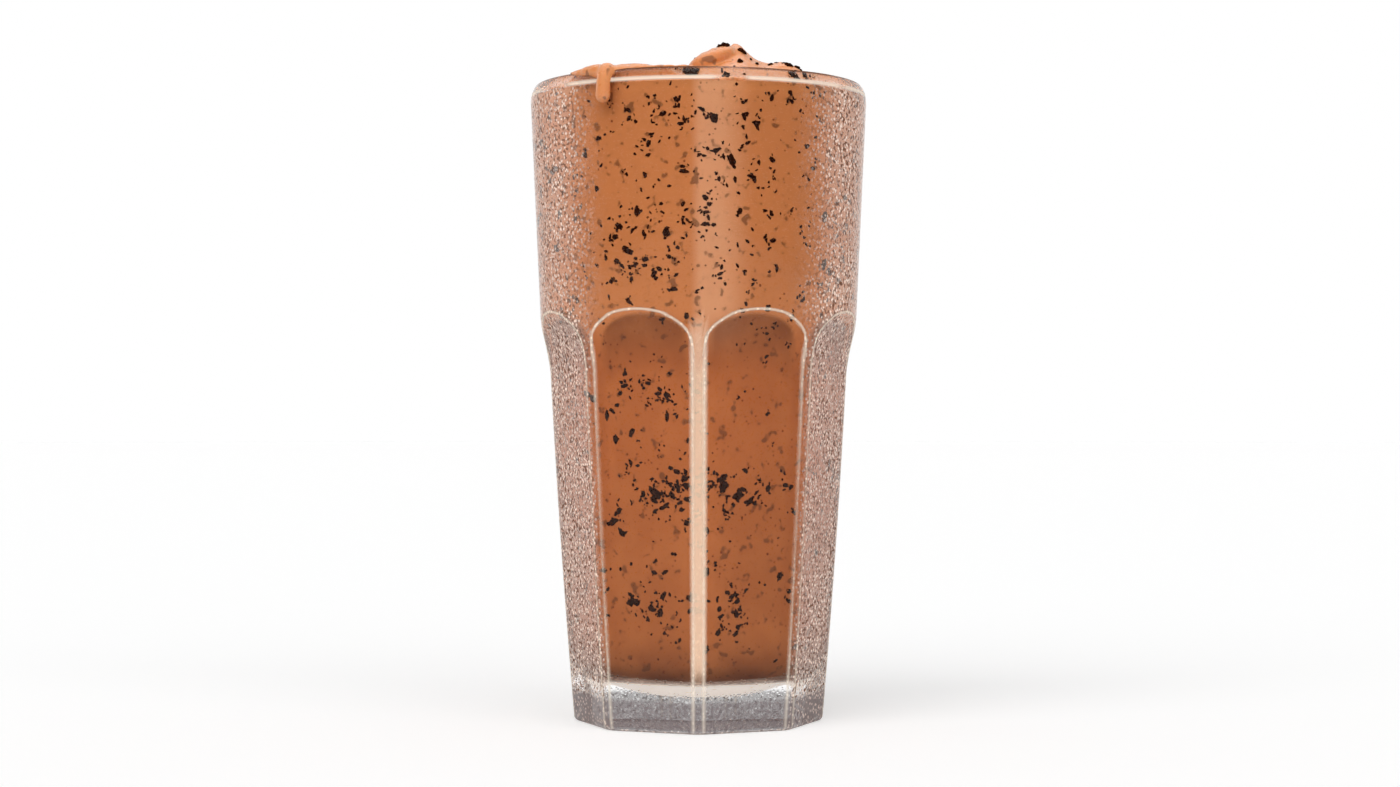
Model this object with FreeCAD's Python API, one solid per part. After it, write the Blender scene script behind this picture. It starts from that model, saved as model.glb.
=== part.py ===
import FreeCAD
import Part
import math
import os

# Chocolate milkshake, filled to the brim of a tall pressed glass with eight panels.
# Millimetres, +Z up, origin on the table under the middle of the glass.
# The person looks along +Y, so -Y is the front and +X is to the right.

# ---- the glass: outside ----
GLASS_HEIGHT = 160.0        # table to the crest of the lip
RIM_RADIUS = 42.3           # widest line, just under the lip
LIP_HEIGHT = 4.7            # the lip rounds over from the widest line to its crest
LIP_ROUND_OUT = 2.4         # the crest lies this far inside the widest line
LIP_ROUND_IN = 1.0          # the crest lies this far outside the inner wall
LIP_INNER_DROP = 1.5        # height of the rounding on the inner side of the crest
UPPER_TAPER = 0.0454        # radius lost per millimetre going down the round upper part
SHOULDER_FOOT = 88.5        # the pillars between the panels run straight below here
SHOULDER_RISE = 13.0        # height over which the round part steps in to the pillars
SHOULDER_STEP = 1.85        # how far the pillars stand in from the upper cone
FOOT_RADIUS = 31.3          # pillars at the table
BODY_BOW = 0.4              # the sides below the shoulder bulge by this much
FOOT_ROUND = 1.2            # rounding between the sides and the table

# ---- the glass: panels ----
PANEL_COUNT = 8
PILLAR_WIDTH_TOP = 3.0      # width left between two panels at the foot of the shoulder
PILLAR_WIDTH_FOOT = 2.6     # width left between two panels at the table
RUNOUT_DROP = 0.4           # a panel starts to curve out this far below the shoulder
RUNOUT_RADIUS = 28.0        # radius of that curve
RUNOUT_TURN = 60.0          # degrees turned, enough to leave the upper cone

# ---- the glass: inside and underside ----
WALL_AT_LIP = 3.4           # widest line to the inner wall
WALL_AT_FLOOR = 3.3         # middle of a panel to the inner wall, at the floor corner
FLOOR_HEIGHT = 8.0          # table to the middle of the cavity floor
FLOOR_CORNER_RISE = 9.0     # the inner wall is straight from this far above the floor
FLOOR_CURVE = 64.0          # radius of the cavity floor, which is lowest in the middle
FLOOR_CORNER = 5.0          # the floor turns up to the wall over this width
FOOT_RING_WIDTH = 2.8       # flat ring the glass stands on, at the middle of a panel
PUNT_DEPTH = 1.3            # hollow under the base

# ---- the milkshake ----
EDGE_DROP = 2.8             # the drink meets the wall this far below the crest
DOME_RISE = 5.6             # the middle stands this far above its edge
FOLD_HEIGHT = 0.55          # soft folds left by pouring
FOLD_PITCH = 15.0           # distance from fold to fold
GRID_STEP = 3.0             # spacing of the points that shape the top
# soft heaps on the top: x, y, height, half width along x, half width along y
HEAPS = (
    (9.4, -5.0, 8.3, 6.4, 7.0),
    (2.0, -8.5, 2.6, 4.2, 4.6),
    (21.8, -4.0, 4.9, 5.6, 6.5),
    (-14.0, 12.0, 2.2, 9.0, 7.0),
    (6.0, 20.0, 2.4, 10.0, 6.0),
)

# ---- where it ran over the lip ----
SPILL_FROM = -43.0          # degrees from the front, towards -X when negative
SPILL_TO = -17.0
SPILL_RADIUS = 1.5          # half thickness of the bead lying on the lip, at its middle
SPILL_END_RADIUS = 0.7      # the same at its two ends
SPILL_STEPS = 6             # straight runs that the bead is made of
SPILL_HEAP_REACH = 3.4      # the drink behind the bead rises this far inside the wall
DRIP_ANGLE = -32.6
DRIP_RADIUS = 2.0
DRIP_LENGTH = 10.2          # from the top of the bead to the round end of the drip
DRIP_SUNK = 0.5             # the middle of the drip lies this far inside the outer wall

Vector = FreeCAD.Vector
PANEL_HALF_ANGLE = math.pi / PANEL_COUNT
AXIS = Vector(0, 0, 1)
CENTRE = Vector(0, 0, 0)
CLEAR = 20.0                # how far cutting shapes stand out past what they cut
SHOULDER_TOP = SHOULDER_FOOT + SHOULDER_RISE
RUNOUT_START = SHOULDER_FOOT - RUNOUT_DROP
FLOOR_CORNER_TOP = FLOOR_HEIGHT + FLOOR_CORNER_RISE


# ---- radii and heights worked out from the sizes above ----

def widest_height():
    return GLASS_HEIGHT - LIP_HEIGHT


def upper_radius(z):
    return RIM_RADIUS - UPPER_TAPER * (widest_height() - z)


def pillar_top_radius():
    return upper_radius(SHOULDER_FOOT) - SHOULDER_STEP


def bowed(foot_value, top_value, z):
    """A side that bulges by BODY_BOW between the table and the shoulder."""
    share = z / SHOULDER_FOOT
    return foot_value + (top_value - foot_value) * share + 4.0 * BODY_BOW * share * (1.0 - share)


def bowed_slope(foot_value, top_value, z):
    share = z / SHOULDER_FOOT
    return (top_value - foot_value + 4.0 * BODY_BOW * (1.0 - 2.0 * share)) / SHOULDER_FOOT


def pillar_radius(z):
    return bowed(FOOT_RADIUS, pillar_top_radius(), z)


def panel_distance_at(radius, pillar_width):
    """Axis to panel, when this much of the round is left between two panels."""
    return radius * math.cos(PANEL_HALF_ANGLE - pillar_width / (2.0 * radius))


PANEL_FOOT_DISTANCE = panel_distance_at(FOOT_RADIUS, PILLAR_WIDTH_FOOT)
PANEL_TOP_DISTANCE = panel_distance_at(pillar_top_radius(), PILLAR_WIDTH_TOP)
PUNT_RADIUS = PANEL_FOOT_DISTANCE - FOOT_ROUND - FOOT_RING_WIDTH


def panel_distance(z):
    return bowed(PANEL_FOOT_DISTANCE, PANEL_TOP_DISTANCE, z)


LIP_INNER_RADIUS = RIM_RADIUS - WALL_AT_LIP
LIP_INNER_TOP = GLASS_HEIGHT - LIP_INNER_DROP
CREST_RADIUS_IN = LIP_INNER_RADIUS + LIP_ROUND_IN
CREST_RADIUS_OUT = RIM_RADIUS - LIP_ROUND_OUT
CORNER_TOP_RADIUS = panel_distance(FLOOR_CORNER_TOP) - WALL_AT_FLOOR
CAVITY_TAPER = (LIP_INNER_RADIUS - CORNER_TOP_RADIUS) / (LIP_INNER_TOP - FLOOR_CORNER_TOP)
EDGE_LEVEL = GLASS_HEIGHT - EDGE_DROP


def cavity_radius(z):
    return CORNER_TOP_RADIUS + CAVITY_TAPER * (z - FLOOR_CORNER_TOP)


# ---- edges in the upright plane through the axis ----

def at(radius, z):
    return Vector(radius, 0, z)


def line(start, end):
    return Part.makeLine(start, end)


def bezier(*poles):
    curve = Part.BezierCurve()
    curve.setPoles(list(poles))
    return curve.toShape()


def bowed_edge(foot_value, top_value, z_from, z_to):
    """The bulging side as a curve from one height to another."""
    start = at(bowed(foot_value, top_value, z_from), z_from)
    end = at(bowed(foot_value, top_value, z_to), z_to)
    half = (z_to - z_from) / 2.0
    middle_radius = start.x + half * bowed_slope(foot_value, top_value, z_from)
    return bezier(start, at(middle_radius, z_from + half), end)


def foot_rounding(radius_at):
    """Quarter round from the table up to the side whose radius the function gives."""
    low = at(radius_at(0.0) - FOOT_ROUND, 0)
    corner = at(radius_at(0.0), 0)
    high = at(radius_at(FOOT_ROUND), FOOT_ROUND)
    return bezier(low, corner, high)


def shoulder_edge():
    low = at(pillar_top_radius(), SHOULDER_FOOT)
    high = at(upper_radius(SHOULDER_TOP), SHOULDER_TOP)
    third = (SHOULDER_TOP - SHOULDER_FOOT) / 3.0
    slope = bowed_slope(FOOT_RADIUS, pillar_top_radius(), SHOULDER_FOOT)
    after_low = at(low.x + slope * third, low.z + third)
    before_high = at(high.x - UPPER_TAPER * third, high.z - third)
    return bezier(low, after_low, before_high, high)


def lip_edges():
    """From the widest line over the crest to the inner wall."""
    widest = at(RIM_RADIUS, widest_height())
    crest_out = at(CREST_RADIUS_OUT, GLASS_HEIGHT)
    crest_in = at(CREST_RADIUS_IN, GLASS_HEIGHT)
    inner = at(LIP_INNER_RADIUS, LIP_INNER_TOP)
    high = at(RIM_RADIUS, widest.z + 0.62 * LIP_HEIGHT)
    across = at(crest_out.x + 0.62 * LIP_ROUND_OUT, GLASS_HEIGHT)
    corner = at(LIP_INNER_RADIUS, GLASS_HEIGHT)
    edges = [bezier(widest, high, across, crest_out)]
    if crest_out.x - crest_in.x > 0.01:
        edges.append(line(crest_out, crest_in))
    edges.append(bezier(crest_in, corner, inner))
    return edges


def floor_height(radius):
    return FLOOR_HEIGHT + FLOOR_CURVE - math.sqrt(FLOOR_CURVE ** 2 - radius ** 2)


def floor_edges():
    """From the top of the floor corner down and in to the axis."""
    start_radius = CORNER_TOP_RADIUS - FLOOR_CORNER
    start = at(start_radius, floor_height(start_radius))
    slope = start_radius / math.sqrt(FLOOR_CURVE ** 2 - start_radius ** 2)
    rise = (start.z - FLOOR_CORNER_TOP + slope * (CORNER_TOP_RADIUS - start_radius))
    corner_z = FLOOR_CORNER_TOP + rise / (1.0 - slope * CAVITY_TAPER)
    corner = at(cavity_radius(corner_z), corner_z)
    wall = at(CORNER_TOP_RADIUS, FLOOR_CORNER_TOP)
    half = start_radius / 2.0
    dish = Part.Arc(start, at(half, floor_height(half)), at(0, FLOOR_HEIGHT)).toShape()
    return [bezier(wall, corner, start), dish]


def punt_edge():
    rise = PUNT_DEPTH
    curve = (PUNT_RADIUS ** 2 + rise ** 2) / (2.0 * rise)
    half = PUNT_RADIUS / 2.0
    middle = at(half, rise - curve + math.sqrt(curve ** 2 - half ** 2))
    return Part.Arc(at(0, rise), middle, at(PUNT_RADIUS, 0)).toShape()


def turned(edges):
    """A full turn of a closed outline about the upright axis."""
    outline = Part.Wire(edges)
    return Part.Face(outline).revolve(CENTRE, AXIS, 360)


# ---- the glass ----

def glass_blank():
    """The round glass, before its panels are pressed in."""
    edges = [
        punt_edge(),
        line(at(PUNT_RADIUS, 0), at(pillar_radius(0.0) - FOOT_ROUND, 0)),
        foot_rounding(pillar_radius),
        bowed_edge(FOOT_RADIUS, pillar_top_radius(), FOOT_ROUND, SHOULDER_FOOT),
        shoulder_edge(),
        line(at(upper_radius(SHOULDER_TOP), SHOULDER_TOP), at(RIM_RADIUS, widest_height())),
    ]
    edges += lip_edges()
    edges.append(line(at(LIP_INNER_RADIUS, LIP_INNER_TOP), at(CORNER_TOP_RADIUS, FLOOR_CORNER_TOP)))
    edges += floor_edges()
    edges.append(line(at(0, FLOOR_HEIGHT), at(0, PUNT_DEPTH)))
    return turned(edges)


def panel_cutter():
    """What is pressed away in front of one panel, before it is turned to its place."""
    low = at(panel_distance(0.0) - FOOT_ROUND, 0)
    start = at(panel_distance(RUNOUT_START), RUNOUT_START)
    tilt = math.atan(bowed_slope(PANEL_FOOT_DISTANCE, PANEL_TOP_DISTANCE, RUNOUT_START))

    def on_runout(turn):
        """Point of the run-out after this many degrees of turn."""
        angle = tilt + math.radians(turn)
        radius = start.x + RUNOUT_RADIUS * (math.cos(tilt) - math.cos(angle))
        z = start.z + RUNOUT_RADIUS * (math.sin(angle) - math.sin(tilt))
        return at(radius, z)

    middle = on_runout(RUNOUT_TURN / 2.0)
    end = on_runout(RUNOUT_TURN)
    far = end.x + CLEAR
    outline = [
        foot_rounding(panel_distance),
        bowed_edge(PANEL_FOOT_DISTANCE, PANEL_TOP_DISTANCE, FOOT_ROUND, RUNOUT_START),
        Part.Arc(start, middle, end).toShape(),
        line(end, at(far, end.z)),
        line(at(far, end.z), at(far, -CLEAR)),
        line(at(far, -CLEAR), at(low.x, -CLEAR)),
        line(at(low.x, -CLEAR), low),
    ]
    face = Part.Face(Part.Wire(outline))
    face.translate(Vector(0, -RIM_RADIUS, 0))
    return face.extrude(Vector(0, 2.0 * RIM_RADIUS, 0))


def make_glass():
    glass = glass_blank()
    step = 360.0 / PANEL_COUNT
    for number in range(PANEL_COUNT):
        cutter = panel_cutter()
        # a pillar, not a panel, faces the front
        cutter.rotate(CENTRE, AXIS, -90.0 + step * (number + 0.5))
        glass = glass.cut(cutter)
    return glass


# ---- the milkshake ----

def front_point(radius, degrees, z):
    """A point at this angle from the front, towards +X when positive."""
    angle = math.radians(degrees)
    return Vector(radius * math.sin(angle), -radius * math.cos(angle), z)


def heap(x, y, centre_x, centre_y, height, half_x, half_y):
    across = (x - centre_x) / half_x
    along = (y - centre_y) / half_y
    return height * math.exp(-across ** 2 - along ** 2)


def spill_heap(x, y):
    """The drink stands as high as the lip where it ran over."""
    middle = (SPILL_FROM + SPILL_TO) / 2.0
    half_turn = (SPILL_TO - SPILL_FROM) / 2.0
    angle = math.degrees(math.atan2(x, -y))
    inward = (LIP_INNER_RADIUS - math.hypot(x, y)) / SPILL_HEAP_REACH
    across = (angle - middle) / half_turn
    return (EDGE_DROP + SPILL_RADIUS) * math.exp(-across ** 4 - inward ** 2)


def top_height(x, y):
    """Height of the drink's top over the point x, y."""
    radius = math.hypot(x, y)
    share = min(radius / LIP_INNER_RADIUS, 1.0)
    height = EDGE_LEVEL + DOME_RISE * (1.0 - share ** 2)
    fold = math.sin(2.0 * math.pi * radius / FOLD_PITCH - math.atan2(y, x) + 0.8)
    height += FOLD_HEIGHT * fold * share * (1.0 - share ** 4)
    for centre_x, centre_y, rise, half_x, half_y in HEAPS:
        height += heap(x, y, centre_x, centre_y, rise, half_x, half_y)
    return height + spill_heap(x, y)


def drink_below_top():
    """Everything under the shaped top, over a square wider than the glass."""
    count = 2 * int(math.ceil((RIM_RADIUS + GRID_STEP) / GRID_STEP)) + 1
    start = -GRID_STEP * (count - 1) / 2.0
    grid = []
    for row in range(count):
        x = start + GRID_STEP * row
        grid.append([])
        for column in range(count):
            y = start + GRID_STEP * column
            grid[row].append(Vector(x, y, top_height(x, y)))
    surface = Part.BSplineSurface()
    surface.interpolate(grid)
    return surface.toShape().extrude(Vector(0, 0, -GLASS_HEIGHT - CLEAR))


def cavity_column():
    """The cavity of the glass, carried straight on above the lip."""
    top = GLASS_HEIGHT + CLEAR
    edges = [line(at(0, top), at(LIP_INNER_RADIUS, top))]
    edges.append(line(at(LIP_INNER_RADIUS, top), at(LIP_INNER_RADIUS, LIP_INNER_TOP)))
    edges.append(line(at(LIP_INNER_RADIUS, LIP_INNER_TOP), at(CORNER_TOP_RADIUS, FLOOR_CORNER_TOP)))
    edges += floor_edges()
    edges.append(line(at(0, FLOOR_HEIGHT), at(0, top)))
    return turned(edges)


def rounded_rod(points, radii):
    """A round rod through the points, with round joints and ends."""
    rod = Part.makeSphere(radii[0], points[0])
    for start, end, thick, thin in zip(points, points[1:], radii, radii[1:]):
        run = end - start
        if abs(thick - thin) < 0.001:
            rod = rod.fuse(Part.makeCylinder(thick, run.Length, start, run))
        else:
            rod = rod.fuse(Part.makeCone(thick, thin, run.Length, start, run))
        rod = rod.fuse(Part.makeSphere(thin, end))
    return rod


def spill_bead():
    """The bead that lies along the crest of the lip, thickest in its middle."""
    ring_radius = (CREST_RADIUS_IN + CREST_RADIUS_OUT) / 2.0
    turn = (SPILL_TO - SPILL_FROM) / SPILL_STEPS
    points = []
    radii = []
    for step in range(SPILL_STEPS + 1):
        points.append(front_point(ring_radius, SPILL_FROM + turn * step, GLASS_HEIGHT))
        swell = math.sin(math.pi * step / SPILL_STEPS)
        radii.append(SPILL_END_RADIUS + (SPILL_RADIUS - SPILL_END_RADIUS) * swell)
    return rounded_rod(points, radii)


def drip():
    """The drip that hangs down the outer wall from the bead."""
    end_z = GLASS_HEIGHT + SPILL_RADIUS - DRIP_LENGTH + DRIP_RADIUS
    over_the_lip = front_point(CREST_RADIUS_OUT, DRIP_ANGLE, GLASS_HEIGHT + SPILL_RADIUS - DRIP_RADIUS)
    under_the_lip = front_point(RIM_RADIUS - DRIP_SUNK, DRIP_ANGLE, widest_height() + LIP_HEIGHT / 4.0)
    end = front_point(upper_radius(end_z) - DRIP_SUNK, DRIP_ANGLE, end_z)
    return rounded_rod([over_the_lip, under_the_lip, end], [DRIP_RADIUS] * 3)


def make_milkshake(glass):
    drink = cavity_column().common(drink_below_top())
    ran_over = spill_bead().fuse(drip())
    return drink.fuse(ran_over).cut(glass).removeSplitter()


# ---- write the pieces ----

def write_piece(name, shape):
    volume = shape.Volume / 1000.0
    print("%s: %d solid, %.1f cubic centimetres" % (name, len(shape.Solids), volume))
    shape.exportStep("parts/" + name + ".step")


os.makedirs("parts", exist_ok=True)
the_glass = make_glass()
write_piece("glass", the_glass)
write_piece("milkshake", make_milkshake(the_glass))
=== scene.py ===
import math
import random

import bmesh
import bpy
from mathutils import Matrix, Vector, noise
from mathutils.bvhtree import BVHTree


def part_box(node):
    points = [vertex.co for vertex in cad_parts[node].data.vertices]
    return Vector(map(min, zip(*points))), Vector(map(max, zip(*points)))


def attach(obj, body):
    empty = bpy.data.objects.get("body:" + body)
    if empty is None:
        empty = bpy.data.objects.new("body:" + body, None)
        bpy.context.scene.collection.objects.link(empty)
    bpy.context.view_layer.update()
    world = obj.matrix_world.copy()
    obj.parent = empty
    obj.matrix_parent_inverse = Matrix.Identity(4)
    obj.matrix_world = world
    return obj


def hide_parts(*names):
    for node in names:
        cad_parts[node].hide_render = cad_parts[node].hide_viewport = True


# Chocolate milkshake in a tall panelled glass. Metres, +Z up, -Y is the front.

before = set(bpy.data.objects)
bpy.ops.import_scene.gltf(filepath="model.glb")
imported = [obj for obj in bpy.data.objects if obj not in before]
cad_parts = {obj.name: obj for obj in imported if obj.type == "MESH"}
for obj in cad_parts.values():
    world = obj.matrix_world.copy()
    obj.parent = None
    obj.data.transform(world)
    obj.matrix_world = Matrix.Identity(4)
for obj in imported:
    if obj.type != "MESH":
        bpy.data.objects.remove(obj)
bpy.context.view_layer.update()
MM = 0.001

# ---- sizes shared with the glass and its drink ----
GLASS_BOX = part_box("glass")
GLASS_HEIGHT = GLASS_BOX[1][2]
RIM_RADIUS = 42.3 * MM
LIP_HEIGHT = 4.7 * MM
LIP_ROUND_OUT = 2.4 * MM
LIP_ROUND_IN = 1.0 * MM
LIP_INNER_DROP = 1.5 * MM
UPPER_TAPER = 0.0454
SHOULDER_FOOT = 88.5 * MM
SHOULDER_RISE = 13.0 * MM
SHOULDER_STEP = 1.85 * MM
FOOT_RADIUS = 31.3 * MM
BODY_BOW = 0.4 * MM
FOOT_ROUND = 1.2 * MM
PANEL_COUNT = 8
PILLAR_WIDTH_TOP = 3.0 * MM
PILLAR_WIDTH_FOOT = 2.6 * MM
PILLAR_CROWN = 8.0 * MM         # radius of the rounded face of a pillar
RUNOUT_DROP = 0.4 * MM
RUNOUT_RADIUS = 28.0 * MM
EDGE_SOFTNESS = 0.2 * MM        # how much pressed edges are rounded over
EDGE_ON_PILLAR = 0.26 * MM      # half the width of the painted highlight along the edges
EDGE_ON_ARCH = 0.5 * MM
ARCH_EDGE_RISE = 6.0 * MM       # the painted edge highlight widens over this height above the pillars
EDGES_END = 108.0 * MM          # no pressed edge lies above this
CROWN_LIMIT = 0.4 * MM          # a pillar's face falls away by no more than this
PILLAR_LEAST_ANGLE = 0.012      # half the angle that the mesh keeps for a pillar
LIP_FULLNESS = 0.62             # how full the outer rounding of the lip is
PILLAR_SHINE_FROM = 12.0 * MM   # the shine of a pillar's face starts and ends here
PILLAR_SHINE_TO = 99.5 * MM
ARCH_ROWS_FROM = 86.0 * MM      # rows of the mesh bend along the arches between these
ARCH_ROWS_TO = 110.0 * MM
ARCH_SHADE_FROM = 70.0 * MM     # painted shade: the drink is darker under the arches between these
ARCH_SHADE_TO = 108.0 * MM
WALL_AT_LIP = 3.4 * MM
WALL_AT_FLOOR = 3.3 * MM
FLOOR_HEIGHT = 8.0 * MM
FLOOR_CORNER_RISE = 9.0 * MM
FLOOR_CURVE = 64.0 * MM
FLOOR_CORNER = 5.0 * MM
FOOT_RING_WIDTH = 2.8 * MM
PUNT_DEPTH = 1.3 * MM

EDGE_DROP = 2.8 * MM
DOME_RISE = 5.6 * MM
DRIP_ANGLE = -32.6
DRIP_LENGTH = 10.2 * MM

SECTOR = 2.0 * math.pi / PANEL_COUNT
HALF_SECTOR = SECTOR / 2.0
SHOULDER_TOP = SHOULDER_FOOT + SHOULDER_RISE
RUNOUT_START = SHOULDER_FOOT - RUNOUT_DROP
FLOOR_CORNER_TOP = FLOOR_HEIGHT + FLOOR_CORNER_RISE
WIDEST = GLASS_HEIGHT - LIP_HEIGHT
EDGE_LEVEL = GLASS_HEIGHT - EDGE_DROP
LIP_INNER_RADIUS = RIM_RADIUS - WALL_AT_LIP
LIP_INNER_TOP = GLASS_HEIGHT - LIP_INNER_DROP
CREST_OUT = RIM_RADIUS - LIP_ROUND_OUT
CREST_IN = LIP_INNER_RADIUS + LIP_ROUND_IN

INTO_WALL = 0.15 * MM           # the drink reaches this far into the glass
CRUMB_INTO_WALL = 0.25 * MM     # crumbs against the glass reach this far into it


# ---- the glass as formulas: radius from height, and from height and angle ----

def mix(a, b, share):
    return a + (b - a) * share


def clamped(value):
    return min(1.0, max(0.0, value))


def off_pillar_at(angle):
    """Angle from the middle of the nearest pillar."""
    return (angle + HALF_SECTOR) % SECTOR - HALF_SECTOR


def front_angle(point):
    return math.atan2(point.x, -point.y)


def bowed(foot_value, top_value, z):
    share = z / SHOULDER_FOOT
    return mix(foot_value, top_value, share) + 4.0 * BODY_BOW * share * (1.0 - share)


def upper_radius(z):
    return RIM_RADIUS - UPPER_TAPER * (WIDEST - z)


PILLAR_TOP_RADIUS = upper_radius(SHOULDER_FOOT) - SHOULDER_STEP


def panel_distance_at(radius, pillar_width):
    return radius * math.cos(HALF_SECTOR - pillar_width / (2.0 * radius))


PANEL_FOOT_DISTANCE = panel_distance_at(FOOT_RADIUS, PILLAR_WIDTH_FOOT)
PANEL_TOP_DISTANCE = panel_distance_at(PILLAR_TOP_RADIUS, PILLAR_WIDTH_TOP)
PUNT_RADIUS = PANEL_FOOT_DISTANCE - FOOT_ROUND - FOOT_RING_WIDTH


def foot_inset(z):
    """How far the rounding at the table pulls the sides in."""
    if z >= FOOT_ROUND:
        return 0.0
    up = 1.0 - z / FOOT_ROUND
    return FOOT_ROUND * (1.0 - math.sqrt(max(0.0, 1.0 - up * up)))


def round_radius(z):
    """Radius of the round glass, before its panels are pressed in."""
    if z >= SHOULDER_TOP:
        return upper_radius(z)
    if z <= SHOULDER_FOOT:
        return bowed(FOOT_RADIUS, PILLAR_TOP_RADIUS, z) - foot_inset(z)
    rise = SHOULDER_RISE
    t = (z - SHOULDER_FOOT) / rise
    low = PILLAR_TOP_RADIUS
    high = upper_radius(SHOULDER_TOP)
    low_slope = (PILLAR_TOP_RADIUS - FOOT_RADIUS - 4.0 * BODY_BOW) / SHOULDER_FOOT * rise
    high_slope = UPPER_TAPER * rise
    return (low * (1 + 2 * t) * (1 - t) ** 2 + low_slope * t * (1 - t) ** 2
            + high * t * t * (3 - 2 * t) + high_slope * t * t * (t - 1))


def panel_distance(z):
    """Axis to the face of a panel, along the middle of the panel."""
    if z <= RUNOUT_START:
        return bowed(PANEL_FOOT_DISTANCE, PANEL_TOP_DISTANCE, z) - foot_inset(z)
    start = bowed(PANEL_FOOT_DISTANCE, PANEL_TOP_DISTANCE, RUNOUT_START)
    tilt = math.atan((PANEL_TOP_DISTANCE - PANEL_FOOT_DISTANCE - 4.0 * BODY_BOW) / SHOULDER_FOOT)
    turned = math.sin(tilt) + (z - RUNOUT_START) / RUNOUT_RADIUS
    if turned >= 0.95:
        return 2.0 * RIM_RADIUS
    return start + RUNOUT_RADIUS * (math.cos(tilt) - math.sqrt(1.0 - turned * turned))


def soft_min(a, b, softness):
    blend = max(0.0, softness - abs(a - b)) / softness
    return min(a, b) - blend * blend * softness / 4.0


def crown_drop(side, z, smooth):
    """How far the rounded face of a pillar falls away at this distance beside its middle."""
    share = clamped((SHOULDER_TOP - z) / SHOULDER_RISE)
    return min(side * side * (0.5 / PILLAR_CROWN - 0.5 / smooth) * share, CROWN_LIMIT)


def round_and_panel(angle, z):
    """Radius of the round with its crowned pillars, and of the panels' faces."""
    off_pillar = off_pillar_at(angle)
    off_panel = HALF_SECTOR - abs(off_pillar)
    smooth = round_radius(z)
    crowned = smooth - crown_drop(smooth * math.sin(off_pillar), z, smooth)
    at_edge = crown_drop(PILLAR_WIDTH_TOP / 2.0, z, smooth)
    return crowned, (panel_distance(z) - at_edge) / math.cos(off_panel)


def outer_radius(angle, z):
    """Radius of the outside of the glass. Angle 0 is the middle of a pillar."""
    smooth, panel = round_and_panel(angle, z)
    return soft_min(smooth, panel, EDGE_SOFTNESS)


def step_to_panel(angle, z):
    smooth, panel = round_and_panel(angle, z)
    return smooth - panel


def edge_share(angle, z):
    """1 on the pressed edges of the panels and their arches, 0 away from them."""
    here = step_to_panel(angle, z)
    turn = 0.001
    rise = 0.03 * MM
    sideways = (step_to_panel(angle + turn, z) - here) / (turn * round_radius(z))
    upward = (step_to_panel(angle, z + rise) - here) / rise
    away = abs(here) / max(0.05, math.hypot(sideways, upward))
    share = clamped((z - SHOULDER_FOOT) / ARCH_EDGE_RISE)
    return max(0.0, 1.0 - away / mix(EDGE_ON_PILLAR, EDGE_ON_ARCH, share)) * mix(0.6, 1.0, share)


def pillar_half_angle(z):
    """Half the angle that a pillar takes up at this height."""
    share = panel_distance(z) / round_radius(z)
    if share >= math.cos(HALF_SECTOR):
        return PILLAR_LEAST_ANGLE
    return max(PILLAR_LEAST_ANGLE, HALF_SECTOR - math.acos(share))


def arch_height(off_panel):
    """Height of the arch over a panel, at this angle from the panel's middle."""
    low = SHOULDER_FOOT
    high = SHOULDER_TOP + 10.0 * MM
    for _ in range(30):
        middle = (low + high) / 2.0
        if panel_distance(middle) < round_radius(middle) * math.cos(off_panel):
            low = middle
        else:
            high = middle
    return low


def curve(steps, *corners):
    """Points along the smooth curve that three or four corner points span."""
    points = []
    for step in range(steps + 1):
        t = step / steps
        weights = ((1 - t) ** 2, 2 * t * (1 - t), t * t)
        if len(corners) == 4:
            weights = ((1 - t) ** 3, 3 * t * (1 - t) ** 2, 3 * t * t * (1 - t), t ** 3)
        points.append(tuple(sum(w * p[k] for w, p in zip(weights, corners)) for k in (0, 1)))
    return points


def lip_profile(steps):
    """Points (radius, height) from the widest line over the crest to the inner wall."""
    a = (RIM_RADIUS, WIDEST)
    b = (RIM_RADIUS, WIDEST + LIP_FULLNESS * LIP_HEIGHT)
    c = (CREST_OUT + LIP_FULLNESS * LIP_ROUND_OUT, GLASS_HEIGHT)
    d = (CREST_OUT, GLASS_HEIGHT)
    corner = (LIP_INNER_RADIUS, GLASS_HEIGHT)
    inner = curve(steps, (CREST_IN, GLASS_HEIGHT), corner, (LIP_INNER_RADIUS, LIP_INNER_TOP))
    return curve(steps, a, b, c, d) + inner


CORNER_TOP_RADIUS = panel_distance(FLOOR_CORNER_TOP) - WALL_AT_FLOOR
CAVITY_TAPER = (LIP_INNER_RADIUS - CORNER_TOP_RADIUS) / (LIP_INNER_TOP - FLOOR_CORNER_TOP)


def cavity_radius(z):
    return CORNER_TOP_RADIUS + CAVITY_TAPER * (z - FLOOR_CORNER_TOP)


def floor_height(radius):
    return FLOOR_HEIGHT + FLOOR_CURVE - math.sqrt(FLOOR_CURVE ** 2 - radius ** 2)


def floor_profile(corner_steps, floor_steps):
    """Points (radius, height) from the foot of the inner wall to the middle of the floor."""
    start_radius = CORNER_TOP_RADIUS - FLOOR_CORNER
    start_z = floor_height(start_radius)
    slope = start_radius / math.sqrt(FLOOR_CURVE ** 2 - start_radius ** 2)
    rise = start_z - FLOOR_CORNER_TOP + slope * (CORNER_TOP_RADIUS - start_radius)
    corner_z = FLOOR_CORNER_TOP + rise / (1.0 - slope * CAVITY_TAPER)
    corner_radius = cavity_radius(corner_z)
    top = (CORNER_TOP_RADIUS, FLOOR_CORNER_TOP)
    points = curve(corner_steps, top, (corner_radius, corner_z), (start_radius, start_z))
    for step in range(1, floor_steps):
        radius = start_radius * (1.0 - step / floor_steps)
        points.append((radius, floor_height(radius)))
    return points


def from_front(radius, angle, z):
    """Point at this angle (radians) from the front, towards +X when positive."""
    return Vector((radius * math.sin(angle), -radius * math.cos(angle), z))


# ---- meshes ----

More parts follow.
